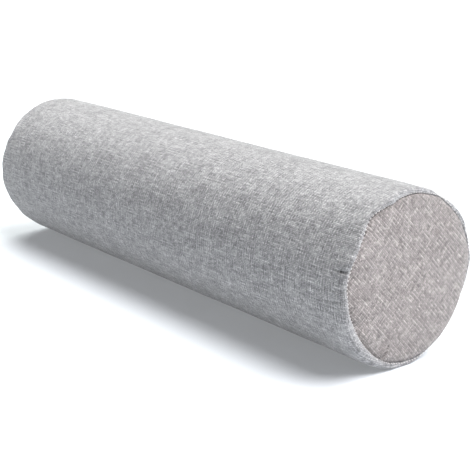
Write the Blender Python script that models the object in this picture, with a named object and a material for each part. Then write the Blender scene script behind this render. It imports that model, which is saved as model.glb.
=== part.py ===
"""Cervical pillow: a firm round roll cushion that lies on its side along X.

The cloth tube and its filling are one solid. A round end panel is sewn into
each end and sits in a shallow seat in the filled tube. The near end isn't
quite square: its -Y side stands out further. Lengths are in metres, +Z is up
and the origin is on the floor under the middle of the roll.
"""
import math
from collections import namedtuple

import bmesh
import bpy
from mathutils import Vector

# Driving dimensions
ROLL_LENGTH = 0.450
ROLL_RADIUS = 0.060
AXIS_HEIGHT = 0.0595
# The near end swells at one side and stands out at the other, so the roll is set over to stay centred
AXIS_ASIDE = -0.0007
ROLL_ALONG = -0.00125
# Cloth this close to the floor lies flat on it
CONTACT_HEIGHT = 0.0006
END_CROWN = 0.0040
PANEL_THICKNESS = 0.0016
PANEL_GAP = 0.0004
SEAM_DEPTH = 0.0011
SEAM_REACH = 0.0060

# How finely the round shapes are divided
AROUND = 72
BARREL_SPAN = 0.026
SHOULDER_RINGS = 10
# Above 1, the shoulder's rings crowd towards the seam
SHOULDER_CROWDING = 1.15
# How far each ring of an end panel and its seat lies in from the rim, along the cloth
RIM_STEPS = (0.0, 0.0014, 0.0029, 0.0046, 0.0068, 0.0100, 0.0160, 0.0270, 0.0400)

# Cloth near the edge is offset towards a ring that lies this far in from both the end and the barrel
CORE_DEPTH = 0.009
# Where the shoulder stops and the straight barrel begins, measured along the cloth from the end's centre
SHOULDER_END = 0.074
# How far along the cloth, to either side of the edge, its swelling reaches
SWELL_REACH = 0.014

HALF_LENGTH = ROLL_LENGTH / 2

# One row for each twelfth of a turn, from +Y towards +Z.
# seam_distance: from the end's centre to the seam, along the cloth
# bend_radius: of the rounded edge between the end and the barrel
# edge_swell: how far the edge stands out beyond the true circle
# edge_reach: how far the edge stands out lengthwise
SeamRow = namedtuple("SeamRow", "angle seam_distance bend_radius edge_swell edge_reach")

NEAR_SEAM = [
    SeamRow(angle=0, seam_distance=0.0589, bend_radius=0.0021, edge_swell=0.0016, edge_reach=0.0003),
    SeamRow(angle=30, seam_distance=0.0586, bend_radius=0.0024, edge_swell=0.0008, edge_reach=0.0014),
    SeamRow(angle=60, seam_distance=0.0588, bend_radius=0.0035, edge_swell=0.0001, edge_reach=-0.0005),
    SeamRow(angle=90, seam_distance=0.0569, bend_radius=0.0038, edge_swell=0.0000, edge_reach=0.0015),
    SeamRow(angle=120, seam_distance=0.0559, bend_radius=0.0029, edge_swell=0.0000, edge_reach=0.0037),
    SeamRow(angle=150, seam_distance=0.0568, bend_radius=0.0027, edge_swell=0.0000, edge_reach=0.0065),
    SeamRow(angle=180, seam_distance=0.0565, bend_radius=0.0024, edge_swell=0.0000, edge_reach=0.0068),
    SeamRow(angle=210, seam_distance=0.0529, bend_radius=0.0032, edge_swell=0.0000, edge_reach=0.0063),
    SeamRow(angle=240, seam_distance=0.0540, bend_radius=0.0049, edge_swell=-0.0004, edge_reach=0.0030),
    SeamRow(angle=270, seam_distance=0.0569, bend_radius=0.0024, edge_swell=0.0002, edge_reach=0.0012),
    SeamRow(angle=300, seam_distance=0.0604, bend_radius=0.0034, edge_swell=0.0002, edge_reach=0.0006),
    SeamRow(angle=330, seam_distance=0.0606, bend_radius=0.0039, edge_swell=0.0004, edge_reach=0.0002),
]

FAR_SEAM = [
    SeamRow(angle=0, seam_distance=0.0558, bend_radius=0.0080, edge_swell=0.0000, edge_reach=0.0000),
    SeamRow(angle=30, seam_distance=0.0550, bend_radius=0.0085, edge_swell=0.0000, edge_reach=0.0000),
    SeamRow(angle=60, seam_distance=0.0560, bend_radius=0.0085, edge_swell=0.0000, edge_reach=0.0000),
    SeamRow(angle=90, seam_distance=0.0572, bend_radius=0.0085, edge_swell=0.0000, edge_reach=0.0000),
    SeamRow(angle=120, seam_distance=0.0580, bend_radius=0.0095, edge_swell=0.0000, edge_reach=0.0000),
    SeamRow(angle=150, seam_distance=0.0576, bend_radius=0.0110, edge_swell=0.0000, edge_reach=0.0000),
    SeamRow(angle=180, seam_distance=0.0566, bend_radius=0.0095, edge_swell=0.0000, edge_reach=0.0000),
    SeamRow(angle=210, seam_distance=0.0572, bend_radius=0.0110, edge_swell=-0.0005, edge_reach=0.0000),
    SeamRow(angle=240, seam_distance=0.0578, bend_radius=0.0100, edge_swell=-0.0009, edge_reach=0.0000),
    SeamRow(angle=270, seam_distance=0.0568, bend_radius=0.0090, edge_swell=-0.0004, edge_reach=0.0000),
    SeamRow(angle=300, seam_distance=0.0556, bend_radius=0.0080, edge_swell=0.0000, edge_reach=0.0000),
    SeamRow(angle=330, seam_distance=0.0562, bend_radius=0.0080, edge_swell=0.0000, edge_reach=0.0000),
]

# Edges that turn more than this stay crisp
SHARP_ANGLE = math.radians(50)

# Cloth colours, as linear red, green and blue
TUBE_COLOUR = (0.36, 0.37, 0.39)
PANEL_COLOUR = (0.44, 0.41, 0.41)
CLOTH_ROUGHNESS = 0.9


def clear_scene():
    """Empties the scene of the objects that a new file holds."""
    for old in list(bpy.data.objects):
        bpy.data.objects.remove(old, do_unlink=True)


def cloth_material(name, colour):
    """A plain rough cloth finish."""
    material = bpy.data.materials.new(name)
    material.use_nodes = True
    shader = material.node_tree.nodes["Principled BSDF"]
    shader.inputs["Base Color"].default_value = (*colour, 1.0)
    shader.inputs["Roughness"].default_value = CLOTH_ROUGHNESS
    shader.inputs["Metallic"].default_value = 0.0
    return material


def smooth_row(rows, angle):
    """The seam's values at any angle, on a smooth closed curve through the table's rows."""
    step = 2 * math.pi / len(rows)
    turns = (angle % (2 * math.pi)) / step
    first = int(turns) % len(rows)
    t = turns - int(turns)
    before, start, end, after = (rows[(first + k) % len(rows)] for k in (-1, 0, 1, 2))
    values = []
    for a, b, c, d in zip(before, start, end, after):
        slope_in = (c - a) / 2
        slope_out = (d - b) / 2
        cubic = 2 * (b - c) + slope_in + slope_out
        square = 3 * (c - b) - 2 * slope_in - slope_out
        values.append(((cubic * t + square) * t + slope_in) * t + b)
    return SeamRow(*values)


class RollEnd:
    """One end of the roll: places points by the distance along the cloth from the end's centre."""

    def __init__(self, rows, side):
        self.rows = rows
        self.side = side

    def seam_distance(self, angle):
        """The distance from the end's centre to the seam."""
        return smooth_row(self.rows, angle).seam_distance

    def outline(self, angle, distance):
        """Radius, and depth behind the rim: a low crown, a round bend, then the straight barrel."""
        row = smooth_row(self.rows, angle)
        bend = row.bend_radius
        rise = END_CROWN - row.edge_reach
        lean = math.atan(2 * rise / (ROLL_RADIUS - bend))
        face = ROLL_RADIUS - bend + bend * math.sin(lean)
        arc = bend * (math.pi / 2 - lean)
        if distance <= face:
            radius = distance
            depth = rise * (distance / face) ** 2 - END_CROWN
        elif distance <= face + arc:
            turn = lean + (distance - face) / bend
            radius = ROLL_RADIUS - bend + bend * math.sin(turn)
            depth = bend * (math.cos(lean) - math.cos(turn)) - row.edge_reach
        else:
            radius = ROLL_RADIUS
            depth = bend * math.cos(lean) + distance - face - arc - row.edge_reach
        fade = max(0.0, 1 - ((distance - ROLL_RADIUS) / SWELL_REACH) ** 2)
        return radius + row.edge_swell * fade, depth

    def point(self, angle, distance, below):
        """A point this far along the cloth and this deep below it; the cloth is drawn in along the seam."""
        radius, depth = self.outline(angle, distance)
        nearness = max(0.0, 1 - abs(distance - self.seam_distance(angle)) / SEAM_REACH)
        below = below + SEAM_DEPTH * nearness ** 2
        inward = Vector((min(radius, ROLL_RADIUS - CORE_DEPTH) - radius, max(depth, CORE_DEPTH) - depth))
        inward.normalize()
        radius += inward.x * below
        depth += inward.y * below
        x = ROLL_ALONG + self.side * (HALF_LENGTH - depth)
        y = AXIS_ASIDE + radius * math.cos(angle)
        z = AXIS_HEIGHT + radius * math.sin(angle)
        if z < CONTACT_HEIGHT:
            z = 0.0
        return Vector((x, y, z))


def ring_angles():
    """The angles of the points round the roll, from +Y towards +Z."""
    return [2 * math.pi * k / AROUND for k in range(AROUND)]


def seat_rings(end):
    """The hidden face behind an end panel, from near its centre out to the seam."""
    rings = []
    for step in reversed(RIM_STEPS):
        ring = []
        for angle in ring_angles():
            distance = end.seam_distance(angle) + PANEL_GAP / 2 - step
            ring.append(end.point(angle, distance, PANEL_THICKNESS + PANEL_GAP))
        rings.append(ring)
    return rings


def shoulder_rings(end):
    """The tube's cloth from the seam round the shoulder to the barrel."""
    rings = []
    for k in range(SHOULDER_RINGS + 1):
        share = (k / SHOULDER_RINGS) ** SHOULDER_CROWDING
        ring = []
        for angle in ring_angles():
            edge = end.seam_distance(angle) + PANEL_GAP / 2
            ring.append(end.point(angle, edge + (SHOULDER_END - edge) * share, 0.0))
        rings.append(ring)
    return rings


def barrel_rings(first_ring, last_ring):
    """Evenly spaced rings along the barrel, between the two shoulders."""
    length = (first_ring[0] - last_ring[0]).length
    spans = math.ceil(length / BARREL_SPAN)
    rings = []
    for k in range(1, spans):
        share = k / spans
        rings.append([a.lerp(b, share) for a, b in zip(first_ring, last_ring)])
    return rings


def closed_skin(name, rings, first_pole, last_pole, material):
    """A closed solid from rings of points, with a fan of triangles to a pole at each end."""
    bm = bmesh.new()
    loops = [[bm.verts.new(p) for p in ring] for ring in rings]
    start = bm.verts.new(first_pole)
    finish = bm.verts.new(last_pole)
    for k in range(AROUND):
        after = (k + 1) % AROUND
        bm.faces.new((start, loops[0][k], loops[0][after]))
        bm.faces.new((finish, loops[-1][after], loops[-1][k]))
        for inner, outer in zip(loops, loops[1:]):
            bm.faces.new((inner[k], outer[k], outer[after], inner[after]))
    bmesh.ops.triangulate(bm, faces=bm.faces[:])
    bmesh.ops.recalc_face_normals(bm, faces=bm.faces[:])
    mesh = bpy.data.meshes.new(name)
    bm.to_mesh(mesh)
    bm.free()
    mesh.shade_smooth()
    mesh.set_sharp_from_angle(angle=SHARP_ANGLE)
    mesh.materials.append(material)
    obj = bpy.data.objects.new(name, mesh)
    bpy.context.scene.collection.objects.link(obj)
    return obj


def roll_body(near, far):
    """The filled cloth tube, with a seat at each end for the sewn-in panel."""
    near_shoulder = shoulder_rings(near)
    far_shoulder = shoulder_rings(far)
    rings = seat_rings(near) + near_shoulder
    rings += barrel_rings(near_shoulder[-1], far_shoulder[-1])
    rings += list(reversed(far_shoulder)) + list(reversed(seat_rings(far)))
    seat_depth = PANEL_THICKNESS + PANEL_GAP
    near_pole = near.point(0.0, 0.0, seat_depth)
    far_pole = far.point(0.0, 0.0, seat_depth)
    return closed_skin("roll_body", rings, near_pole, far_pole, cloth_material("tube_cloth", TUBE_COLOUR))


def end_panel(name, end):
    """A round panel of cloth with a low crown, its rim turned down into the seam."""
    outer = []
    inner = []
    for step in reversed(RIM_STEPS):
        front = []
        back = []
        for angle in ring_angles():
            distance = end.seam_distance(angle) - PANEL_GAP / 2 - step
            front.append(end.point(angle, distance, 0.0))
            back.append(end.point(angle, distance, PANEL_THICKNESS))
        outer.append(front)
        inner.append(back)
    rings = outer + list(reversed(inner))
    front_pole = end.point(0.0, 0.0, 0.0)
    back_pole = end.point(0.0, 0.0, PANEL_THICKNESS)
    return closed_skin(name, rings, front_pole, back_pole, cloth_material(name + "_cloth", PANEL_COLOUR))


def main():
    clear_scene()
    near = RollEnd(NEAR_SEAM, 1)
    far = RollEnd(FAR_SEAM, -1)
    roll_body(near, far)
    end_panel("end_panel_near", near)
    end_panel("end_panel_far", far)


main()
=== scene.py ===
"""Cervical pillow: the looks of the cloth roll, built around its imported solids.

The filled cloth tube and the two sewn-in end panels are modelled meshes that
stand for the plain solids, and the sewing thread is added to them. Lengths are
in metres, +Z is up and the origin is on the floor under the middle of the roll.
"""

import bisect
import math
from collections import namedtuple

import bpy
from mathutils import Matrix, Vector, noise


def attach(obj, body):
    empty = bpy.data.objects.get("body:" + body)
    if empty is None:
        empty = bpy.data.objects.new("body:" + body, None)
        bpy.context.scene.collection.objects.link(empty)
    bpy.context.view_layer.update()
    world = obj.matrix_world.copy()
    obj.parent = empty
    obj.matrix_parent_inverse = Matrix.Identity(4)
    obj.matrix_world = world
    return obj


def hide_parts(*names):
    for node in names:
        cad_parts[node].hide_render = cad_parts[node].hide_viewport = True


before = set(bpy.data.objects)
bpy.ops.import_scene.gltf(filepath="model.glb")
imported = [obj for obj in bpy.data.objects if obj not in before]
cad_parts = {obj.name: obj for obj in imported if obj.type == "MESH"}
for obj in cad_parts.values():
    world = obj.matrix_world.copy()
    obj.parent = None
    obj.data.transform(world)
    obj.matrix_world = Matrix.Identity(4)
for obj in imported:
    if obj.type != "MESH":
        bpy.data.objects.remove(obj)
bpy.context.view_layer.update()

# The roll's sizes, as in the part's source
ROLL_LENGTH = 0.450
ROLL_RADIUS = 0.060
AXIS_HEIGHT = 0.0595
AXIS_ASIDE = -0.0007
ROLL_ALONG = -0.00125
END_CROWN = 0.0040
PANEL_THICKNESS = 0.0016
SEAM_DEPTH = 0.0011
SEAM_REACH = 0.0060
# Cloth near the edge is offset towards a ring that lies this far in from both the end and the barrel
CORE_DEPTH = 0.009
# Where the shoulder stops and the straight barrel begins, along the cloth from the end's centre
SHOULDER_END = 0.074
# How far along the cloth, to either side of the edge, its swelling reaches
SWELL_REACH = 0.014
HALF_LENGTH = ROLL_LENGTH / 2

# Places where a seam leaves its smooth course, as at a corner in hand sewing.
# angle and half_width: in degrees; shift: outwards along the cloth, in metres
CourseShift = namedtuple("CourseShift", "angle half_width shift")

NEAR_SHIFTS = [
    CourseShift(angle=14, half_width=7, shift=0.0007),
    CourseShift(angle=40, half_width=11, shift=-0.0010),
    CourseShift(angle=57, half_width=5, shift=0.0012),
    CourseShift(angle=72, half_width=7, shift=-0.0007),
    CourseShift(angle=106, half_width=4, shift=-0.0009),
    CourseShift(angle=126.5, half_width=11, shift=0.0033),
    CourseShift(angle=149, half_width=8, shift=-0.0012),
    CourseShift(angle=170, half_width=6, shift=0.0006),
    CourseShift(angle=184, half_width=5, shift=-0.0008),
    CourseShift(angle=231, half_width=6, shift=-0.0005),
    CourseShift(angle=255, half_width=6, shift=0.0004),
]

FAR_SHIFTS = [
    CourseShift(angle=48, half_width=9, shift=0.0012),
    CourseShift(angle=133, half_width=7, shift=-0.0010),
    CourseShift(angle=247, half_width=10, shift=0.0014),
    CourseShift(angle=318, half_width=6, shift=-0.0009),
]

# Sewing
STITCHES = 140
COLUMNS_PER_STITCH = 4
# Width of the slit between the tube's cloth and a panel's
SEAM_GAP = 0.0005
# Room between a panel's back and the tube's hidden seat, and how deep that seat lies
SEAT_ROOM = 0.0004
SEAT_DEPTH = PANEL_THICKNESS + 2 * SEAT_ROOM
# The tube is drawn in close to the seam
TUBE_DIP = 0.0010
TUBE_DIP_REACH = 0.0036
# A panel is drawn in more deeply than the tube, most of all along its -Y side
PANEL_DIP = 0.0016
PANEL_DIP_REACH = 0.0075
SIDE_DROOP = 0.0016
SIDE_DROOP_REACH = 0.0190
SIDE_DROOP_MIDDLE = math.radians(180)
SIDE_DROOP_SPREAD = math.radians(65)
# The cloth turns down into the seam round a lip of this radius
LIP_RADIUS = 0.0008
# Each stitch draws the cloth down by about this much, less and less away from the seam
STITCH_PULL = 0.00060
STITCH_REACH = 0.0014
PULL_VARIATION = 0.5
# The seam strays from its smooth course by up to this much
SEAM_STRAY = 0.00030
SEAM_STRAY_LENGTH = 0.012
# The sewing thread that shows in the seam
THREAD_RADIUS = 0.00036
THREAD_DEPTH = 0.00012
THREAD_LIFT_VARIATION = 0.00008
# How much of a stitch's length shows, and how thin its ends are against its middle
THREAD_SHARE = 0.54
THREAD_TIP = 0.4
# How far the stitches lie on the tube's side of the seam
THREAD_ASIDE = 0.00030
THREAD_SIDES = 6
THREAD_RINGS = 5
# The seam's direction is read between places this many columns to either side
DIRECTION_STEP = 0.1
# The cloth gathers into small uneven ridges that run out from the seam
PUCKER_HEIGHT = 0.00022
PUCKER_REACH = 0.0060
PUCKER_REACH_VARIATION = 0.6
PUCKERS_AROUND = 46
# Below 1, a crease is deepest nearer to its start than to its other end
CREASE_PEAK = 0.7
# A crease isn't felt beyond this many half widths
CREASE_CUT = 3

# Slow unevenness of the filled tube
WAVE_HEIGHT = 0.00028
WAVE_LENGTH = 0.060
RIPPLE_HEIGHT = 0.00008
RIPPLE_LENGTH = 0.017

# Each use of noise reads it at an offset or step of its own, so that no two are alike
RIPPLE_OFFSET = 1.0
STRAY_OFFSET = 3.0
PANEL_PUCKER_OFFSET = 3.0
PUCKER_REACH_OFFSET = 5.0
THREAD_OFFSET = 9.0
PULL_STEP = 0.77
THREAD_STEP = 0.71

# The cloth simulation's own mesh. A panel has this many even rings out to its seam, but the last two
# give way to rings at these distances from the seam
SETTLE_COLUMNS = STITCHES
SETTLE_PANEL_RINGS = 12
SETTLE_SEAM_RINGS = (-0.0030, -0.0015, 0.0, 0.0015, 0.0030, 0.0048, 0.0070, 0.0100)
SETTLE_BARREL_SPANS = 70
# The cover starts this far inside its place and is blown up
SETTLE_START_IN = 0.0005
SETTLE_FRAMES = 20
SETTLE_QUALITY = 5
SETTLE_MASS = 0.3
SETTLE_PRESSURE = 4.0
# The share of its length that the sewing thread holds each seam short by
SETTLE_SEAM_SHRINK = 0.03
# How many columns the slow swelling is averaged over, and the most that is kept of a pucker
SETTLE_WINDOW = 15
SETTLE_CAP = 0.00045

# How finely the meshes are divided
AROUND = STITCHES * COLUMNS_PER_STITCH
BARREL_SPAN = 0.0042
# Distances of the first rings from the seam's edge, along the cloth
LIP_STEPS = (0.0, 0.00012, 0.00030, 0.00055, 0.00090, 0.00135, 0.0019, 0.0026, 0.0034, 0.0044, 0.0056)
SHOULDER_RINGS = 5
# Distances of the rings of the hidden seat and of a panel's back, inwards from the seam
SEAT_STEPS = (0.0, 0.0020, 0.0060, 0.0160, 0.0400)
# A panel's front has one more close ring than the tube, then even rings to the one round its centre
PANEL_STEPS = (*LIP_STEPS, 0.0070)
PANEL_RINGS = 22
PANEL_CENTRE = 0.0015

# One row for each twelfth of a turn, from +Y towards +Z, as in the part's source
SeamRow = namedtuple(
    "SeamRow", "angle seam_distance bend_radius edge_swell edge_reach", defaults=(0.0, 0.0),
)

NEAR_SEAM = [
    SeamRow(angle=0, seam_distance=0.0589, bend_radius=0.0021, edge_swell=0.0016, edge_reach=0.0003),
    SeamRow(angle=30, seam_distance=0.0586, bend_radius=0.0024, edge_swell=0.0008, edge_reach=0.0014),
    SeamRow(angle=60, seam_distance=0.0588, bend_radius=0.0035, edge_swell=0.0001, edge_reach=-0.0005),
    SeamRow(angle=90, seam_distance=0.0569, bend_radius=0.0038, edge_reach=0.0015),
    SeamRow(angle=120, seam_distance=0.0559, bend_radius=0.0029, edge_reach=0.0037),
    SeamRow(angle=150, seam_distance=0.0568, bend_radius=0.0027, edge_reach=0.0065),
    SeamRow(angle=180, seam_distance=0.0565, bend_radius=0.0024, edge_reach=0.0068),
    SeamRow(angle=210, seam_distance=0.0529, bend_radius=0.0032, edge_reach=0.0063),
    SeamRow(angle=240, seam_distance=0.0540, bend_radius=0.0049, edge_swell=-0.0004, edge_reach=0.0030),
    SeamRow(angle=270, seam_distance=0.0569, bend_radius=0.0024, edge_swell=0.0002, edge_reach=0.0012),
    SeamRow(angle=300, seam_distance=0.0604, bend_radius=0.0034, edge_swell=0.0002, edge_reach=0.0006),
    SeamRow(angle=330, seam_distance=0.0606, bend_radius=0.0039, edge_swell=0.0004, edge_reach=0.0002),
]

FAR_SEAM = [
    SeamRow(angle=0, seam_distance=0.0558, bend_radius=0.0080),
    SeamRow(angle=30, seam_distance=0.0550, bend_radius=0.0085),
    SeamRow(angle=60, seam_distance=0.0560, bend_radius=0.0085),
    SeamRow(angle=90, seam_distance=0.0572, bend_radius=0.0085),
    SeamRow(angle=120, seam_distance=0.0580, bend_radius=0.0095),
    SeamRow(angle=150, seam_distance=0.0576, bend_radius=0.0110),
    SeamRow(angle=180, seam_distance=0.0566, bend_radius=0.0095),
    SeamRow(angle=210, seam_distance=0.0572, bend_radius=0.0110, edge_swell=-0.0005),
    SeamRow(angle=240, seam_distance=0.0578, bend_radius=0.0100, edge_swell=-0.0009),
    SeamRow(angle=270, seam_distance=0.0568, bend_radius=0.0090, edge_swell=-0.0004),
    SeamRow(angle=300, seam_distance=0.0556, bend_radius=0.0080),
    SeamRow(angle=330, seam_distance=0.0562, bend_radius=0.0080),
]

# Single creases that run out from the seam, over the tube or, with a negative reach, over the panel.
# angle: where it lies, in degrees; start and reach: its two ends, in metres from the seam;
# half_width: in metres; depth: how far the cloth sinks; slant: degrees that it turns along its length
Crease = namedtuple("Crease", "angle start reach half_width depth slant")

NEAR_CREASES = [
    Crease(angle=163.3, start=0.0012, reach=0.0105, half_width=0.0012, depth=0.0036, slant=0.4),
    Crease(angle=158.2, start=0.0010, reach=0.0130, half_width=0.0024, depth=-0.0007, slant=1),
    Crease(angle=168, start=0.0005, reach=0.0080, half_width=0.0024, depth=-0.0007, slant=0.5),
    Crease(angle=174.5, start=0.0020, reach=0.0260, half_width=0.0010, depth=0.0008, slant=3),
    Crease(angle=181.8, start=0.0030, reach=0.0260, half_width=0.0009, depth=0.0010, slant=3.2),
    Crease(angle=185.3, start=0.0030, reach=0.0230, half_width=0.0009, depth=0.0009, slant=2.5),
    Crease(angle=189, start=0.0025, reach=0.0200, half_width=0.0009, depth=0.0006, slant=1.5),
    Crease(angle=171.3, start=0.0010, reach=0.0100, half_width=0.0009, depth=0.0007, slant=0.5),
    Crease(angle=141, start=0.0020, reach=0.0160, half_width=0.0014, depth=0.0006, slant=-2),
    Crease(angle=152, start=0.0010, reach=0.0120, half_width=0.0012, depth=0.0007, slant=-1),
    Crease(angle=215.5, start=0.0010, reach=0.0190, half_width=0.0010, depth=0.0007, slant=0.8),
    Crease(angle=247.2, start=-0.0004, reach=-0.0135, half_width=0.0009, depth=0.0019, slant=0.3),
    Crease(angle=244.3, start=-0.0004, reach=-0.0100, half_width=0.0013, depth=-0.00045, slant=0.5),
    Crease(angle=205, start=-0.0002, reach=-0.0080, half_width=0.0009, depth=0.0005, slant=-3),
    Crease(angle=120, start=-0.0002, reach=-0.0090, half_width=0.0010, depth=0.0005, slant=2),
    Crease(angle=20, start=-0.0002, reach=-0.0080, half_width=0.0010, depth=0.0003, slant=0),
]

FAR_CREASES = [
    Crease(angle=35, start=0.0010, reach=0.0140, half_width=0.0012, depth=0.0004, slant=3),
    Crease(angle=98, start=0.0010, reach=0.0110, half_width=0.0011, depth=0.0003, slant=-3),
    Crease(angle=214, start=0.0010, reach=0.0160, half_width=0.0013, depth=0.00045, slant=2),
    Crease(angle=305, start=0.0010, reach=0.0120, half_width=0.0011, depth=0.00035, slant=-2),
    Crease(angle=75, start=-0.0002, reach=-0.0090, half_width=0.0009, depth=0.00035, slant=2),
    Crease(angle=188, start=-0.0002, reach=-0.0110, half_width=0.0008, depth=0.00045, slant=-2),
    Crease(angle=262, start=-0.0002, reach=-0.0070, half_width=0.0009, depth=0.0003, slant=3),
]

# Spacing of the yarns that run round the roll, and of those that run along it
YARN_AROUND_PITCH = 0.00120
YARN_ALONG_PITCH = 0.00112
# By how much of their spacing the yarns stray
YARN_STRAY = 0.5
# How many times as far as a yarn's short tones its lasting tones run, and its slubs
LASTING_LENGTHS = 3.4
SLUB_LENGTHS = 2.2
# A slub shows where its noise is above this level, and this many times as strongly
SLUB_LEVEL = 0.62
SLUB_GAIN = 10.0
# Noise is read this far apart for neighbouring yarns
TONE_STEP = 7.31
SLUB_STEP = 3.77
LASTING_STEP = 5.17
# The height at which each pattern reads the noise
STRAY_LAYER = 7.0
WEFT_LAYER = 11.0
PATCH_LAYER = 23.0
CROSSING_LAYER = 31.0
SLUB_LAYER = 40.0
LASTING_LAYER = 60.0
# Scales of the patterns that don't follow the yarns, in cycles to a metre
STRAY_SCALE = 70.0
MOTTLE_SCALE = 70.0
PATCH_SCALE = 90.0
FLECK_SCALE = 1300.0
FIBRE_SCALE = 3200.0
FLECK_STRENGTH = 0.46
# The yarn below shows through by this share at each crossing
BELOW_SHARE = 0.25
# Tones at which the cloth has its dark, middle and light colours, and the mean of the yarns' tones
TONE_STOPS = (0.30, 0.50, 0.70)
TONE_CENTRE = 0.54
# Painted shade: the cloth's colour is darkened to this brightness in the hollows between the yarns, and
# their tops add this much back
PAINTED_SHADE_IN_HOLLOWS = 0.60
PAINTED_SHADE_TOP_LIFT = 0.54
FIBRE_RELIEF = 0.25
RELIEF_HEIGHT = 0.00030
RELIEF_STRENGTH = 0.75
CLOTH_ROUGHNESS = 0.80
FIBRE_ROUGHNESS = 0.15
CLOTH_SHEEN = 0.34
SHEEN_ROUGHNESS = 0.45
CLOTH_SPECULAR = 0.25

# run: how far a short tone lasts along a yarn; lasting: strength of the tones that run several times
# as far; stripe: how much darker every other yarn is; crossing: strength of each crossing's own tone;
# contrast: of all these tones; mottle: strength of the slow cloudiness; slubs: strength of the sparse
# light streaks; turn: of the yarns against the cloth's own coordinates
Weave = namedtuple(
    "Weave",
    "along_run around_run lasting along_stripe around_stripe crossing contrast mottle slubs "
    "dark middle light turn",
    defaults=(0.0,),
)

TUBE_WEAVE = Weave(
    along_run=0.0078, around_run=0.0042, lasting=0.30, along_stripe=0.09, around_stripe=0.07,
    crossing=0.16, contrast=0.86, mottle=0.09, slubs=0.04,
    dark=(0.169, 0.168, 0.174), middle=(0.357, 0.355, 0.362), light=(0.652, 0.648, 0.656),
)

PANEL_WEAVE = Weave(
    along_run=0.0065, around_run=0.0050, lasting=0.32, along_stripe=0.10, around_stripe=0.10,
    crossing=0.34, contrast=0.76, mottle=0.07, slubs=0.05,
    dark=(0.155, 0.141, 0.137), middle=(0.318, 0.289, 0.281), light=(0.561, 0.514, 0.497),
)

NEAR_PANEL_TURN = math.radians(45)
FAR_PANEL_TURN = math.radians(12)

# The sewing thread's colours in its twist's hollows, darkened there as painted shade, and on top, where they
# lie, and its finish
THREAD_HOLLOW_PAINTED_SHADE = (0.56, 0.539, 0.532)
THREAD_LIGHT = (0.80, 0.77, 0.76)
TWIST_STOPS = (0.3, 0.6)
TWIST_SCALE = 2500.0
TWIST_HEIGHT = 0.0001
TWIST_STRENGTH = 0.6
THREAD_ROUGHNESS = 0.6

# The floor: half its width, how far below the roll it lies, and its finish
FLOOR_HALF = 9.0
FLOOR_DROP = 0.0002
FLOOR_COLOUR = (0.70, 0.73, 0.765)
FLOOR_ROUGHNESS = 0.9
FLOOR_SPECULAR = 0.1
# A little light of its own keeps the floor nearly white
FLOOR_GLOW = 0.20
FLOOR_GLOW_COLOUR = (0.96, 0.98, 1.0)

# The band of light round the horizon fades between these heights, as the sine of its elevation
HORIZON_FADE = (0.03, 0.11)

# toward: points from the roll to the lamp; power: in watts on a square metre
Lamp = namedtuple("Lamp", "name toward power tint")

# How wide each lamp looks from the roll
LAMP_SPREAD = math.radians(50)

LAMPS = [
    Lamp(name="overhead_right", toward=(0.50, 0.30, 0.95), power=5.05, tint=(1.0, 0.99, 1.0)),
    Lamp(name="behind_left", toward=(-0.60, 0.50, 0.87), power=3.25, tint=(0.975, 1.0, 0.97)),
    Lamp(name="front", toward=(0.0, -0.98, 0.15), power=0.30, tint=(1.0, 0.97, 0.92)),
]

# Camera, placed where the photograph's outline and both seams fit
CAMERA_PLACE = Vector((0.738484, -0.533998, 0.295306))
CAMERA_YAW = 0.916
CAMERA_PITCH = 0.2741
SENSOR_WIDTH = 36.0
PHOTO_SIZE = 470
FOCAL_PIXELS = 1201.3


def smooth_row(rows, angle):
    """The seam's values at any angle, on a smooth closed curve through the table's rows."""
    step = 2 * math.pi / len(rows)
    turns = (angle % (2 * math.pi)) / step
    first = int(turns) % len(rows)
    t = turns - int(turns)
    before, start, end, after = (rows[(first + k) % len(rows)] for k in (-1, 0, 1, 2))
    values = []
    for a, b, c, d in zip(before, start, end, after):
        slope_in = (c - a) / 2
        slope_out = (d - b) / 2
        cubic = 2 * (b - c) + slope_in + slope_out
        square = 3 * (c - b) - 2 * slope_in - slope_out
        values.append(((cubic * t + square) * t + slope_in) * t + b)
    return SeamRow(*values)


def column_angle(column):
    """The angle of a column of points round the roll, from +Y towards +Z."""
    return 2 * math.pi * column / AROUND


def girth(column):
    """How far round the roll a column lies, along the cloth."""
    return column_angle(column) * ROLL_RADIUS


def turn_between(angle, other):
    """The signed turn from one angle to another, within half a turn."""
    return (angle - other + math.pi) % (2 * math.pi) - math.pi


def waviness(x, angle):
    """How far the filled tube's cloth stands in or out at this place."""
    y = ROLL_RADIUS * math.cos(angle)
    z = ROLL_RADIUS * math.sin(angle)
    slow = noise.noise(Vector((x, y, z)) / WAVE_LENGTH)
    quick = noise.noise(Vector((x, y + RIPPLE_OFFSET, z)) / RIPPLE_LENGTH)
    return WAVE_HEIGHT * slow + RIPPLE_HEIGHT * quick


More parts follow.
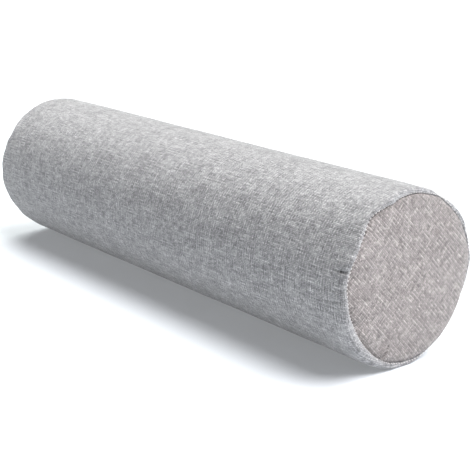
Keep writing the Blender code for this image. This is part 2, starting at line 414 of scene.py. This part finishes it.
class RollEnd:
    """One end of the roll: places points by the distance along the cloth from the end's centre."""

    def __init__(self, rows, shifts, creases, side, seed):
        self.side = side
        self.creases = creases
        self.seed = seed
        self.settled = None
        self.columns = []
        for column in range(AROUND):
            row = smooth_row(rows, column_angle(column))
            moved = row.seam_distance + self.stray(shifts, column)
            self.columns.append(row._replace(seam_distance=moved))

    def stray(self, shifts, column):
        """How far the seam leaves its smooth course in this column."""
        spot = Vector((girth(column) / SEAM_STRAY_LENGTH, self.seed, STRAY_OFFSET))
        stray = SEAM_STRAY * noise.noise(spot)
        for shift in shifts:
            turn = turn_between(column_angle(column), math.radians(shift.angle))
            aside = turn / math.radians(shift.half_width)
            stray += shift.shift * math.exp(-aside * aside)
        return stray

    def outline(self, column, distance):
        """Radius, and depth behind the rim: a low crown, a round bend, then the straight barrel."""
        row = self.columns[column]
        bend = row.bend_radius
        rise = END_CROWN - row.edge_reach
        lean = math.atan(2 * rise / (ROLL_RADIUS - bend))
        face = ROLL_RADIUS - bend + bend * math.sin(lean)
        arc = bend * (math.pi / 2 - lean)
        if distance <= face:
            radius = distance
            depth = rise * (distance / face) ** 2 - END_CROWN
        elif distance <= face + arc:
            turn = lean + (distance - face) / bend
            radius = ROLL_RADIUS - bend + bend * math.sin(turn)
            depth = bend * (math.cos(lean) - math.cos(turn)) - row.edge_reach
        else:
            radius = ROLL_RADIUS
            depth = bend * math.cos(lean) + distance - face - arc - row.edge_reach
        fade = max(0.0, 1 - ((distance - ROLL_RADIUS) / SWELL_REACH) ** 2)
        return radius + row.edge_swell * fade, depth

    def dip(self, column, beyond):
        """How deep the seam draws the cloth below the outline; beyond is negative on the panel."""
        away = abs(beyond)
        if beyond >= 0:
            return TUBE_DIP * max(0.0, 1 - away / TUBE_DIP_REACH) ** 2
        aside = abs(turn_between(column_angle(column), SIDE_DROOP_MIDDLE))
        droop = SIDE_DROOP * max(0.0, 1 - aside / SIDE_DROOP_SPREAD)
        depth = PANEL_DIP * max(0.0, 1 - away / PANEL_DIP_REACH) ** 2
        return depth + droop * max(0.0, 1 - away / SIDE_DROOP_REACH) ** 2

    def drawn_in(self, column, beyond):
        """The seam's dip together with the turned-down lip and the pull of each stitch."""
        away = abs(beyond)
        depth = self.dip(column, beyond)
        if away < LIP_RADIUS:
            depth += LIP_RADIUS - math.sqrt(LIP_RADIUS ** 2 - (LIP_RADIUS - away) ** 2)
        stitch, step = divmod(column, COLUMNS_PER_STITCH)
        phase = step / COLUMNS_PER_STITCH * 2 * math.pi
        own_pull = 1 + PULL_VARIATION * noise.noise(Vector((stitch * PULL_STEP, self.seed, 0.0)))
        depth += STITCH_PULL * own_pull * (0.5 + 0.5 * math.cos(phase)) * math.exp(-away / STITCH_REACH)
        return depth

    def puckering(self, column, beyond):
        """The uneven ridges that run out from the seam, the single creases and the simulated puckers."""
        angle = column_angle(column)
        y = math.cos(angle)
        z = math.sin(angle)
        own_reach = noise.noise(Vector((self.seed + PUCKER_REACH_OFFSET, y, z)))
        reach = PUCKER_REACH * (1 + PUCKER_REACH_VARIATION * own_reach)
        spot = Vector((y, z, 0.0)) * (PUCKERS_AROUND / (2 * math.pi))
        spot.z = self.seed + (PANEL_PUCKER_OFFSET if beyond < 0 else 0.0)
        height = PUCKER_HEIGHT * noise.noise(spot) * math.exp(-abs(beyond) / reach)
        for crease in self.creases:
            height -= crease_depth(crease, angle, beyond)
        if self.settled:
            height += self.settled.at_end(self, column, self.columns[column].seam_distance + beyond)
        return height

    def place(self, column, distance, below):
        """The point this far along the cloth and this deep below its outline."""
        radius, depth = self.outline(column, distance)
        angle = column_angle(column)
        core_radius = min(radius, ROLL_RADIUS - CORE_DEPTH)
        core_depth = max(depth, CORE_DEPTH)
        inward = Vector((core_radius - radius, core_depth - depth))
        inward.normalize()
        radius += inward.x * below
        depth += inward.y * below
        x = ROLL_ALONG + self.side * (HALF_LENGTH - depth)
        y = AXIS_ASIDE + radius * math.cos(angle)
        z = AXIS_HEIGHT + radius * math.sin(angle)
        return Vector((x, y, max(z, 0.0)))

    def surface(self, column, beyond):
        """A point of the visible cloth, this far beyond the seam; the panel's side is negative."""
        distance = self.columns[column].seam_distance + beyond
        below = self.drawn_in(column, beyond) - self.puckering(column, beyond)
        if beyond > 0:
            x = ROLL_ALONG + self.side * (HALF_LENGTH - self.outline(column, distance)[1])
            below -= waviness(x, column_angle(column)) * min(1.0, beyond / SEAM_REACH)
        return self.place(column, distance, below)


def crease_depth(crease, angle, beyond):
    """How deep one crease is at this angle and this far from the seam."""
    share = (beyond - crease.start) / (crease.reach - crease.start)
    if not 0 < share < 1:
        return 0.0
    middle = math.radians(crease.angle + crease.slant * share)
    offset = turn_between(angle, middle) * ROLL_RADIUS / crease.half_width
    if abs(offset) > CREASE_CUT:
        return 0.0
    along = math.sin(math.pi * share ** CREASE_PEAK)
    return crease.depth * along * math.exp(-offset * offset)


def ring_mesh(name, rings, first_pole, last_pole, cloth_places):
    """A closed mesh from rings of points with a pole at each end, and the cloth's own coordinates.

    cloth_places has the first pole's place on the flat cloth, a row of places for each ring, one
    more than it has points, and the last pole's place.
    """
    count = len(rings[0])
    points = [first_pole]
    for ring in rings:
        points.extend(ring)
    points.append(last_pole)
    last = len(points) - 1
    last_ring = last - count
    first_flat, ring_flats, last_flat = cloth_places
    faces = []
    corners = []
    for k in range(count):
        faces.append((0, 1 + k, 1 + (k + 1) % count))
        corners += [first_flat, ring_flats[0][k], ring_flats[0][k + 1]]
    for r in range(len(rings) - 1):
        low = 1 + r * count
        high = low + count
        here = ring_flats[r]
        there = ring_flats[r + 1]
        for k in range(count):
            after = (k + 1) % count
            faces.append((low + k, high + k, high + after, low + after))
            corners += [here[k], there[k], there[k + 1], here[k + 1]]
    for k in range(count):
        faces.append((last, last_ring + (k + 1) % count, last_ring + k))
        corners += [last_flat, ring_flats[-1][k + 1], ring_flats[-1][k]]
    mesh = bpy.data.meshes.new(name)
    mesh.from_pydata(points, [], faces)
    layer = mesh.uv_layers.new(name="cloth")
    for corner, place in zip(layer.data, corners):
        corner.uv = place
    mesh.shade_smooth()
    mesh.validate()
    return mesh


def add_object(name, data):
    """Puts a mesh, a lamp or the camera in the scene."""
    obj = bpy.data.objects.new(name, data)
    bpy.context.scene.collection.objects.link(obj)
    return obj


def add_piece(name, mesh, material):
    """Puts a mesh in the scene as a piece that rides with the roll."""
    mesh.materials.append(material)
    obj = add_object(name, mesh)
    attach(obj, "root")
    return obj


class SettledCover:
    """The puckers that a cloth simulation gives the cover, blown up with both seams held short.

    A place on the cover is its column and its distance along the cloth from the near end's centre.
    """

    def __init__(self, near, far):
        self.near = near
        self.step = AROUND // SETTLE_COLUMNS
        self.lines = [self.line(near, far, c * self.step) for c in range(SETTLE_COLUMNS)]
        self.places = [[place for place, point in line] for line in self.lines]
        self.heights = self.kept_heights(self.simulated_heights())

    def end_line(self, end, column):
        """The simulated points of one column over one end: distances from its centre, and points."""
        seam = end.columns[column].seam_distance
        distances = [seam * r / SETTLE_PANEL_RINGS for r in range(1, SETTLE_PANEL_RINGS - 1)]
        distances += [seam + beyond for beyond in SETTLE_SEAM_RINGS] + [SHOULDER_END]
        line = []
        for distance in distances:
            nearness = max(0.0, 1 - abs(distance - seam) / SEAM_REACH)
            below = SETTLE_START_IN + SEAM_DEPTH * nearness ** 2
            line.append((distance, end.place(column, distance, below)))
        return line

    def line(self, near, far, column):
        """The simulated points of one column, from the near end's centre to the far one's."""
        first = self.end_line(near, column)
        last = self.end_line(far, column)
        start = first[-1][1]
        finish = last[-1][1]
        length = start.x - finish.x
        line = first
        for s in range(1, SETTLE_BARREL_SPANS):
            share = s / SETTLE_BARREL_SPANS
            line.append((SHOULDER_END + length * share, start.lerp(finish, share)))
        line += [(2 * SHOULDER_END + length - distance, point) for distance, point in reversed(last)]
        return line

    def start_mesh(self):
        """The simulated mesh as it starts, and its points: all the rings, then both poles."""
        rings = len(self.lines[0])
        count = SETTLE_COLUMNS
        last_ring = (rings - 1) * count
        points = [self.lines[c][r][1] for r in range(rings) for c in range(count)]
        first_pole = len(points)
        last_pole = first_pole + 1
        points.append(self.near.place(0, 0.0, SETTLE_START_IN))
        points.append(points[last_ring].lerp(points[last_ring + count // 2], 0.5))
        faces = []
        for c in range(count):
            after = (c + 1) % count
            faces.append((first_pole, c, after))
            faces.append((last_pole, last_ring + after, last_ring + c))
            for r in range(rings - 1):
                low = r * count
                faces.append((low + c, low + count + c, low + count + after, low + after))
        mesh = bpy.data.meshes.new("settling")
        mesh.from_pydata(points, [], faces)
        return mesh, points

    def add_cloth(self, obj):
        """Makes the mesh a cloth that its filling presses outwards and its seams hold short."""
        rings = len(self.lines[0])
        count = SETTLE_COLUMNS
        seams = obj.vertex_groups.new(name="seams")
        seam_ring = SETTLE_PANEL_RINGS - 2 + SETTLE_SEAM_RINGS.index(0.0)
        for ring in (seam_ring, rings - 1 - seam_ring):
            seams.add([ring * count + c for c in range(count)], 1.0, "REPLACE")
        cloth = obj.modifiers.new("cloth", "CLOTH")
        cloth.settings.quality = SETTLE_QUALITY
        cloth.settings.mass = SETTLE_MASS
        cloth.settings.use_pressure = True
        cloth.settings.uniform_pressure_force = SETTLE_PRESSURE
        cloth.settings.effector_weights.gravity = 0.0
        cloth.settings.vertex_group_shrink = "seams"
        cloth.settings.shrink_max = SETTLE_SEAM_SHRINK
        cloth.point_cache.frame_start = 1
        cloth.point_cache.frame_end = SETTLE_FRAMES

    def simulated_heights(self):
        """Runs the cloth simulation and gives how far each point of each ring moves outwards."""
        mesh, points = self.start_mesh()
        obj = add_object("settling", mesh)
        self.add_cloth(obj)
        normals = [vertex.normal.copy() for vertex in mesh.vertices]
        for frame_number in range(1, SETTLE_FRAMES + 1):
            bpy.context.scene.frame_set(frame_number)
        moved = obj.evaluated_get(bpy.context.evaluated_depsgraph_get()).to_mesh()
        heights = []
        for r in range(len(self.lines[0])):
            ring = []
            for c in range(SETTLE_COLUMNS):
                index = r * SETTLE_COLUMNS + c
                ring.append((moved.vertices[index].co - points[index]).dot(normals[index]))
            heights.append(ring)
        bpy.data.objects.remove(obj, do_unlink=True)
        bpy.data.meshes.remove(mesh)
        bpy.context.scene.frame_set(1)
        return heights

    def kept_heights(self, rings):
        """Keeps the puckers alone: each ring's slow swelling is taken off, and the rest is softly capped."""
        count = SETTLE_COLUMNS
        half = SETTLE_WINDOW // 2
        smooth = []
        for ring in rings:
            smooth.append([(ring[c - 1] + 2 * ring[c] + ring[(c + 1) % count]) / 4 for c in range(count)])
        heights = []
        for c in range(count):
            line = []
            for ring in smooth:
                slow = sum(ring[(c + k) % count] for k in range(-half, half + 1)) / SETTLE_WINDOW
                line.append(SETTLE_CAP * math.tanh((ring[c] - slow) / SETTLE_CAP))
            eased = []
            for r, height in enumerate(line):
                before = line[max(r - 1, 0)]
                after = line[min(r + 1, len(line) - 1)]
                eased.append((before + 2 * height + after) / 4)
            heights.append(eased)
        return heights

    def in_column(self, c, place):
        """The kept height at a place of one simulated column."""
        places = self.places[c]
        r = min(max(bisect.bisect(places, place) - 1, 0), len(places) - 2)
        share = min(max((place - places[r]) / (places[r + 1] - places[r]), 0.0), 1.0)
        return self.heights[c][r] * (1 - share) + self.heights[c][r + 1] * share

    def at(self, column, place):
        """The kept height at a place of one of the fine mesh's columns."""
        c, step = divmod(column, self.step)
        share = step / self.step
        after = (c + 1) % SETTLE_COLUMNS
        return self.in_column(c, place) * (1 - share) + self.in_column(after, place) * share

    def at_end(self, end, column, distance):
        """The kept height this far along the cloth from an end's centre."""
        if end is self.near:
            return self.at(column, distance)
        innermost = end.columns[column].seam_distance / SETTLE_PANEL_RINGS
        whole = self.places[column // self.step][-1] + innermost
        return self.at(column, whole - distance)


def visible_rings(end, rows):
    """Rings of the visible cloth, with their distances from the end's centre along the cloth.

    Each row gives every column's place beyond the seam.
    """
    rings = []
    distances = []
    for row in rows:
        rings.append([end.surface(k, beyond) for k, beyond in enumerate(row)])
        distances.append([end.columns[k].seam_distance + beyond for k, beyond in enumerate(row)])
    return rings, distances


def hidden_rings(end, edge, depth):
    """Rings of cloth behind a panel, this deep, from an edge this far beyond the seam inwards."""
    rings = []
    for step in SEAT_STEPS:
        ring = []
        for k in range(AROUND):
            distance = end.columns[k].seam_distance + edge - step
            ring.append(end.place(k, distance, depth + end.dip(k, -step - SEAM_GAP)))
        rings.append(ring)
    return rings


def tube_end(end):
    """Rings from the barrel over the shoulder to behind the panel, with their places on the flat cloth."""
    rows = [[SEAM_GAP / 2 + step] * AROUND for step in LIP_STEPS]
    start = rows[-1][0]
    for r in range(1, SHOULDER_RINGS + 1):
        share = r / SHOULDER_RINGS
        rows.append([start + (SHOULDER_END - row.seam_distance - start) * share for row in end.columns])
    rings, distances = visible_rings(end, rows)
    seat_distances = [[row.seam_distance - step for row in end.columns] for step in SEAT_STEPS]
    edge = rings[-1]
    flats = []
    for ring in distances[::-1] + seat_distances:
        flat = []
        for k in range(AROUND + 1):
            past_edge = SHOULDER_END - ring[k % AROUND]
            flat.append((girth(k), edge[k % AROUND].x + end.side * past_edge))
        flats.append(flat)
    return rings[::-1] + hidden_rings(end, SEAM_GAP / 2, SEAT_DEPTH), flats


def barrel(near, start, finish):
    """Rings of the tube's straight part, between the last rings of its two shoulders."""
    spans = math.ceil((start[0] - finish[0]).length / BARREL_SPAN)
    rings = []
    for s in range(1, spans):
        ring = []
        for k in range(AROUND):
            angle = column_angle(k)
            outward = Vector((0.0, math.cos(angle), math.sin(angle)))
            x = start[k].x + (finish[k].x - start[k].x) * s / spans
            radius = ROLL_RADIUS + waviness(x, angle)
            if near.settled:
                radius += near.settled.at(k, SHOULDER_END + start[k].x - x)
            point = Vector((x, AXIS_ASIDE, AXIS_HEIGHT)) + outward * radius
            point.z = max(point.z, 0.0)
            ring.append(point)
        rings.append(ring)
    return rings


def tube_cover(near, far, material):
    """The cloth tube with its filling, from seam to seam, closed behind the panels."""
    near_rings, near_flats = tube_end(near)
    far_rings, far_flats = tube_end(far)
    middle = barrel(near, near_rings[0], far_rings[0])
    middle_flats = [[(girth(k), ring[k % AROUND].x) for k in range(AROUND + 1)] for ring in middle]
    rings = near_rings[::-1] + middle + far_rings
    flats = near_flats[::-1] + middle_flats + far_flats
    first_flat = (0.0, HALF_LENGTH + ROLL_RADIUS)
    last_flat = (0.0, -HALF_LENGTH - ROLL_RADIUS)
    first_pole = near.place(0, 0.0, SEAT_DEPTH)
    last_pole = far.place(0, 0.0, SEAT_DEPTH)
    mesh = ring_mesh("tube_cover", rings, first_pole, last_pole, (first_flat, flats, last_flat))
    obj = add_piece("tube_cover", mesh, material)
    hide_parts("roll_body")


def panel_front(end):
    """A panel's visible cloth, from near its centre out to the seam."""
    edge = -SEAM_GAP / 2
    rows = []
    for r in range(PANEL_RINGS):
        share = r / PANEL_RINGS
        row = []
        for column in end.columns:
            rim = column.seam_distance + edge - PANEL_STEPS[-1]
            row.append(PANEL_CENTRE + (rim - PANEL_CENTRE) * share - column.seam_distance)
        rows.append(row)
    rows += [[edge - step] * AROUND for step in reversed(PANEL_STEPS)]
    return visible_rings(end, rows)


def end_cloth(name, end, material):
    """A round panel of cloth, its rim turned down into the seam, as a thin closed sheet."""
    front, distances = panel_front(end)
    back_depth = PANEL_THICKNESS + SEAT_ROOM
    back = hidden_rings(end, -SEAM_GAP / 2, back_depth)
    distances += [[row.seam_distance - SEAM_GAP / 2 - step for row in end.columns] for step in SEAT_STEPS]
    flats = []
    for ring in distances:
        flat = []
        for k in range(AROUND + 1):
            angle = column_angle(k)
            flat.append((ring[k % AROUND] * math.cos(angle), ring[k % AROUND] * math.sin(angle)))
        flats.append(flat)
    first_pole = end.place(0, 0.0, 0.0)
    last_pole = end.place(0, 0.0, back_depth)
    mesh = ring_mesh(name, front + back, first_pole, last_pole, ((0.0, 0.0), flats, (0.0, 0.0)))
    return add_piece(name, mesh, material)


def seam_place(end, column, lift):
    """A place down in the seam, at any number of columns round and this much higher than the rest."""
    low = int(column)
    share = column - low
    spots = []
    for k in (low % AROUND, (low + 1) % AROUND):
        below = end.dip(k, THREAD_ASIDE) + THREAD_DEPTH - lift
        spots.append(end.place(k, end.columns[k].seam_distance + THREAD_ASIDE, below))
    return spots[0].lerp(spots[1], share)


def stitch_points(end, stitch):
    """Rings of points round one stitch, which is thinner and lies deeper towards both its ends."""
    middle = (stitch + 0.5) * COLUMNS_PER_STITCH
    own_lift = THREAD_LIFT_VARIATION * noise.noise(Vector((stitch * THREAD_STEP, end.seed, THREAD_OFFSET)))
    points = []
    for r in range(THREAD_RINGS):
        along = 2 * r / (THREAD_RINGS - 1) - 1
        column = middle + along * THREAD_SHARE * COLUMNS_PER_STITCH / 2
        centre = seam_place(end, column, own_lift - THREAD_RADIUS * along * along)
        before = seam_place(end, column - DIRECTION_STEP, 0.0)
        after = seam_place(end, column + DIRECTION_STEP, 0.0)
        ahead = (after - before).normalized()
        core = Vector((centre.x - end.side * ROLL_RADIUS, AXIS_ASIDE, AXIS_HEIGHT))
        aside = ahead.cross((centre - core).normalized()).normalized()
        outward = aside.cross(ahead)
        radius = THREAD_RADIUS * max(THREAD_TIP, math.sqrt(1 - along * along))
        for s in range(THREAD_SIDES):
            turn = 2 * math.pi * s / THREAD_SIDES
            points.append(centre + (aside * math.cos(turn) + outward * math.sin(turn)) * radius)
    return points


def stitch_faces(base):
    """The faces of a stitch whose points start at this number."""
    faces = []
    for r in range(THREAD_RINGS - 1):
        low = base + r * THREAD_SIDES
        for s in range(THREAD_SIDES):
            after = (s + 1) % THREAD_SIDES
            faces.append((low + s, low + THREAD_SIDES + s, low + THREAD_SIDES + after, low + after))
    last = base + (THREAD_RINGS - 1) * THREAD_SIDES
    faces.append(tuple(base + s for s in range(THREAD_SIDES)))
    faces.append(tuple(last + s for s in reversed(range(THREAD_SIDES))))
    return faces


def seam_thread(name, end, material):
    """The stitches that show down in the seam, one short length of thread to each."""
    points = []
    faces = []
    for stitch in range(STITCHES):
        faces += stitch_faces(len(points))
        points += stitch_points(end, stitch)
    mesh = bpy.data.meshes.new(name)
    mesh.from_pydata(points, [], faces)
    mesh.shade_smooth()
    mesh.validate()
    obj = add_piece(name, mesh, material)


class NodeGraph:
    """Adds shader nodes to a material or to the world by short calls."""

    def __init__(self, owner, shader="Principled BSDF"):
        owner.use_nodes = True
        self.tree = owner.node_tree
        self.shader = self.tree.nodes[shader]

    def put(self, socket, value):
        """Links a socket to an output, or sets it to a plain value."""
        if isinstance(value, bpy.types.NodeSocket):
            self.tree.links.new(value, socket)
        else:
            socket.default_value = value

    def finish(self, name, value):
        """Links or sets one of the shader's own sockets."""
        self.put(self.shader.inputs[name], value)

    def math(self, operation, *values):
        """One step of arithmetic on numbers or outputs."""
        node = self.tree.nodes.new("ShaderNodeMath")
        node.operation = operation
        for socket, value in zip(node.inputs, values):
            self.put(socket, value)
        return node.outputs[0]

    def centred(self, value, strength):
        """A number between 0 and 1 as this strong a change to either side of nothing."""
        return self.math("MULTIPLY_ADD", value, strength, -strength / 2)

    def parts(self, vector):
        """The three parts of a vector."""
        node = self.tree.nodes.new("ShaderNodeSeparateXYZ")
        self.put(node.inputs[0], vector)
        return node.outputs

    def noise(self, x, y, scale, detail=1.0, z=0.0):
        """Soft noise between 0 and 1 at a place on the cloth."""
        joined = self.tree.nodes.new("ShaderNodeCombineXYZ")
        for socket, value in zip(joined.inputs, (x, y, z)):
            self.put(socket, value)
        node = self.tree.nodes.new("ShaderNodeTexNoise")
        self.put(node.inputs["Vector"], joined.outputs[0])
        node.inputs["Scale"].default_value = scale
        node.inputs["Detail"].default_value = detail
        return node.outputs["Fac"]

    def blend(self, share, first, second):
        """A number between two others."""
        node = self.tree.nodes.new("ShaderNodeMix")
        node.data_type = "FLOAT"
        self.put(node.inputs[0], share)
        self.put(node.inputs[2], first)
        self.put(node.inputs[3], second)
        return node.outputs[0]

    def ramp(self, value, positions, colours):
        """A colour that follows a number through colours at the given positions."""
        node = self.tree.nodes.new("ShaderNodeValToRGB")
        self.put(node.inputs[0], value)
        elements = node.color_ramp.elements
        while len(elements) < len(positions):
            elements.new(1.0)
        for element, position, colour in zip(elements, positions, colours):
            element.position = position
            element.color = (*colour, 1.0)
        return node.outputs[0]

    def shade(self, colour, brightness):
        """A colour times a number."""
        node = self.tree.nodes.new("ShaderNodeVectorMath")
        node.operation = "SCALE"
        self.put(node.inputs[0], colour)
        self.put(node.inputs[3], brightness)
        return node.outputs[0]

    def bump(self, height, distance, strength):
        """A normal that shows a small relief."""
        node = self.tree.nodes.new("ShaderNodeBump")
        node.inputs["Strength"].default_value = strength
        node.inputs["Distance"].default_value = distance
        self.put(node.inputs["Height"], height)
        return node.outputs[0]


def cloth_place(graph, turn):
    """A place on the flat cloth, turned with its yarns: how far round the roll, and how far along it."""
    place = graph.tree.nodes.new("ShaderNodeUVMap")
    place.uv_map = "cloth"
    turned = graph.tree.nodes.new("ShaderNodeVectorRotate")
    turned.rotation_type = "Z_AXIS"
    turned.inputs["Angle"].default_value = turn
    graph.put(turned.inputs["Vector"], place.outputs[0])
    return graph.parts(turned.outputs[0])[:2]


def yarn_tone(graph, weave, number, run, length, layer):
    """A yarn's own tone, which changes slowly along it, with lasting tones and sparse long slubs."""

    def pattern(step, lengths=1.0, detail=0.0, height=0.0):
        own_row = graph.math("MULTIPLY", number, step)
        along = graph.math("DIVIDE", run, length * lengths)
        return graph.noise(own_row, along, scale=1.0, detail=detail, z=layer + height)

    short = pattern(TONE_STEP, detail=2.0)
    slub = graph.math("SUBTRACT", pattern(SLUB_STEP, SLUB_LENGTHS, height=SLUB_LAYER), SLUB_LEVEL)
    slub = graph.math("MAXIMUM", slub, 0.0)
    lasting = pattern(LASTING_STEP, LASTING_LENGTHS, height=LASTING_LAYER)
    tone = graph.math("MULTIPLY_ADD", slub, weave.slubs * SLUB_GAIN, short)
    return graph.math("ADD", tone, graph.centred(lasting, weave.lasting))


def striped(graph, tone, number, patch, stripe):
    """A tone that is darker on every other yarn."""
    every_other = graph.math("MODULO", graph.math("ABSOLUTE", number), 2.0)
    darker = graph.math("MULTIPLY", graph.math("MULTIPLY", every_other, patch), -stripe)
    return graph.math("ADD", tone, darker)


def weave_tone(graph, weave, across, along, warp, weft, warp_on_top):
    """The tone of the whole weave, from the yarns that run along the roll and those round it."""
    warp_number = graph.math("FLOOR", warp)
    weft_number = graph.math("FLOOR", weft)
    warp_tone = yarn_tone(graph, weave, warp_number, along, weave.along_run, 0.0)
    weft_tone = yarn_tone(graph, weave, weft_number, across, weave.around_run, WEFT_LAYER)
    # Every other yarn is darker, more so in some patches than in others
    patch = graph.math("MULTIPLY", graph.noise(across, along, PATCH_SCALE, z=PATCH_LAYER), 2.0)
    warp_tone = striped(graph, warp_tone, warp_number, patch, weave.along_stripe)
    weft_tone = striped(graph, weft_tone, weft_number, patch, weave.around_stripe)
    warp_share = graph.math("MULTIPLY_ADD", warp_on_top, 1 - 2 * BELOW_SHARE, BELOW_SHARE)
    tone = graph.blend(warp_share, weft_tone, warp_tone)
    # Each crossing of two yarns has a tone of its own too
    own_place = [graph.math("MULTIPLY", number, TONE_STEP) for number in (warp_number, weft_number)]
    crossing = graph.noise(*own_place, scale=1.0, detail=0.0, z=CROSSING_LAYER)
    tone = graph.math("MULTIPLY_ADD", crossing, weave.crossing, tone)
    centre = TONE_CENTRE + weave.crossing / 2 - (weave.along_stripe + weave.around_stripe) / 4
    tone = graph.math("MULTIPLY_ADD", graph.math("SUBTRACT", tone, centre), weave.contrast, 0.5)
    fleck = graph.noise(across, along, FLECK_SCALE)
    mottle = graph.noise(across, along, MOTTLE_SCALE, detail=2.0)
    tone = graph.math("ADD", tone, graph.centred(fleck, FLECK_STRENGTH))
    return graph.math("ADD", tone, graph.centred(mottle, weave.mottle))


def woven_cloth(name, weave):
    """Heathered plain weave: two systems of mottled yarns that pass over and under each other, with painted
    shade darkening the hollows between them.
    """
    material = bpy.data.materials.new(name)
    graph = NodeGraph(material)
    across, along = cloth_place(graph, weave.turn)
    stray_across = graph.centred(graph.noise(across, along, STRAY_SCALE), YARN_STRAY)
    stray_along = graph.centred(graph.noise(across, along, STRAY_SCALE, z=STRAY_LAYER), YARN_STRAY)
    warp = graph.math("ADD", graph.math("DIVIDE", across, YARN_ALONG_PITCH), stray_across)
    weft = graph.math("ADD", graph.math("DIVIDE", along, YARN_AROUND_PITCH), stray_along)
    waves = [graph.math("SINE", graph.math("MULTIPLY", yarn, math.pi)) for yarn in (warp, weft)]
    wave = graph.math("MULTIPLY", *waves)
    warp_on_top = graph.math("GREATER_THAN", wave, 0.0)
    # The square root makes the yarns' tops broad and the hollows between them narrow
    height = graph.math("POWER", graph.math("ABSOLUTE", wave), 0.5)

    tone = weave_tone(graph, weave, across, along, warp, weft, warp_on_top)
    colour = graph.ramp(tone, TONE_STOPS, (weave.dark, weave.middle, weave.light))
    # Painted shade: the colour is darkened where the weave is low, in the hollows between the yarns, and
    # less on their tops
    hollow_painted_shade = graph.math("MULTIPLY_ADD", height, PAINTED_SHADE_TOP_LIFT, PAINTED_SHADE_IN_HOLLOWS)
    fibres = graph.noise(across, along, FIBRE_SCALE, detail=2.0)
    relief = graph.math("ADD", height, graph.math("MULTIPLY", fibres, FIBRE_RELIEF))
    graph.finish("Base Color", graph.shade(colour, hollow_painted_shade))
    graph.finish("Normal", graph.bump(relief, RELIEF_HEIGHT, RELIEF_STRENGTH))
    graph.finish("Roughness", graph.math("MULTIPLY_ADD", fibres, FIBRE_ROUGHNESS, CLOTH_ROUGHNESS))
    graph.finish("Sheen Weight", CLOTH_SHEEN)
    graph.finish("Sheen Roughness", SHEEN_ROUGHNESS)
    graph.finish("Specular IOR Level", CLOTH_SPECULAR)
    return material


def spun_thread(name):
    """Pale sewing thread with a fine twist, its hollows darkened as painted shade."""
    material = bpy.data.materials.new(name)
    graph = NodeGraph(material)
    place = graph.tree.nodes.new("ShaderNodeTexCoord")
    parts = graph.parts(place.outputs["Object"])
    twist = graph.noise(parts[1], parts[2], TWIST_SCALE)
    # Painted shade: where the twist's bump is low, in its hollows, the thread gets the darker colour
    graph.finish("Base Color", graph.ramp(twist, TWIST_STOPS, (THREAD_HOLLOW_PAINTED_SHADE, THREAD_LIGHT)))
    graph.finish("Normal", graph.bump(twist, TWIST_HEIGHT, TWIST_STRENGTH))
    graph.finish("Roughness", THREAD_ROUGHNESS)
    return material


def floor_paint():
    """Pale paint for the floor."""
    material = bpy.data.materials.new("floor_paint")
    graph = NodeGraph(material)
    graph.finish("Base Color", (*FLOOR_COLOUR, 1.0))
    graph.finish("Emission Color", (*FLOOR_GLOW_COLOUR, 1.0))
    graph.finish("Emission Strength", FLOOR_GLOW)
    graph.finish("Roughness", FLOOR_ROUGHNESS)
    graph.finish("Specular IOR Level", FLOOR_SPECULAR)
    return material


def plain_floor():
    """A plain pale floor."""
    corners = [(-1, -1), (1, -1), (1, 1), (-1, 1)]
    points = [(x * FLOOR_HALF, y * FLOOR_HALF, -FLOOR_DROP) for x, y in corners]
    mesh = bpy.data.meshes.new("floor")
    mesh.from_pydata(points, [], [(0, 1, 2, 3)])
    mesh.materials.append(floor_paint())
    add_object("floor", mesh)


def pale_horizon():
    """A world that goes on from the floor's far edge as a pale band and is dark above it."""
    world = bpy.data.worlds.new("studio")
    graph = NodeGraph(world, "Background")
    direction = graph.tree.nodes.new("ShaderNodeTexCoord")
    height = graph.parts(direction.outputs["Generated"])[2]
    graph.finish("Color", graph.ramp(height, HORIZON_FADE, ((1.0, 1.0, 1.0), (0.0, 0.0, 0.0))))
    return world


def studio():
    """Plain soft studio light from broad distant lamps, most of it from above and behind the roll."""
    for lamp in LAMPS:
        light = bpy.data.lights.new(lamp.name, "SUN")
        light.energy = lamp.power
        light.angle = LAMP_SPREAD
        light.color = lamp.tint
        obj = add_object("lamp_" + lamp.name, light)
        obj.rotation_euler = (-Vector(lamp.toward)).to_track_quat("-Z", "Y").to_euler()
    bpy.context.scene.world = pale_horizon()
    bpy.context.scene.view_settings.view_transform = "Standard"


def photo_camera():
    """The camera at the photograph's angle."""
    camera = bpy.data.cameras.new("camera")
    camera.sensor_width = SENSOR_WIDTH
    camera.lens = FOCAL_PIXELS / PHOTO_SIZE * SENSOR_WIDTH
    obj = add_object("camera", camera)
    obj.location = CAMERA_PLACE
    obj.rotation_euler = (math.pi / 2 - CAMERA_PITCH, 0.0, CAMERA_YAW)
    bpy.context.scene.camera = obj


def main():
    near = RollEnd(NEAR_SEAM, NEAR_SHIFTS, NEAR_CREASES, side=1, seed=0.0)
    far = RollEnd(FAR_SEAM, FAR_SHIFTS, FAR_CREASES, side=-1, seed=20.0)
    near.settled = far.settled = SettledCover(near, far)
    tube_cover(near, far, woven_cloth("tube_weave", TUBE_WEAVE))
    thread = spun_thread("seam_thread")
    for which, end, turn in (("near", near, NEAR_PANEL_TURN), ("far", far, FAR_PANEL_TURN)):
        weave = woven_cloth("panel_weave_" + which, PANEL_WEAVE._replace(turn=turn))
        panel = end_cloth("end_cloth_" + which, end, weave)
        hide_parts("end_panel_" + which)
        seam_thread("seam_thread_" + which, end, thread)
    plain_floor()
    studio()
    photo_camera()


main()
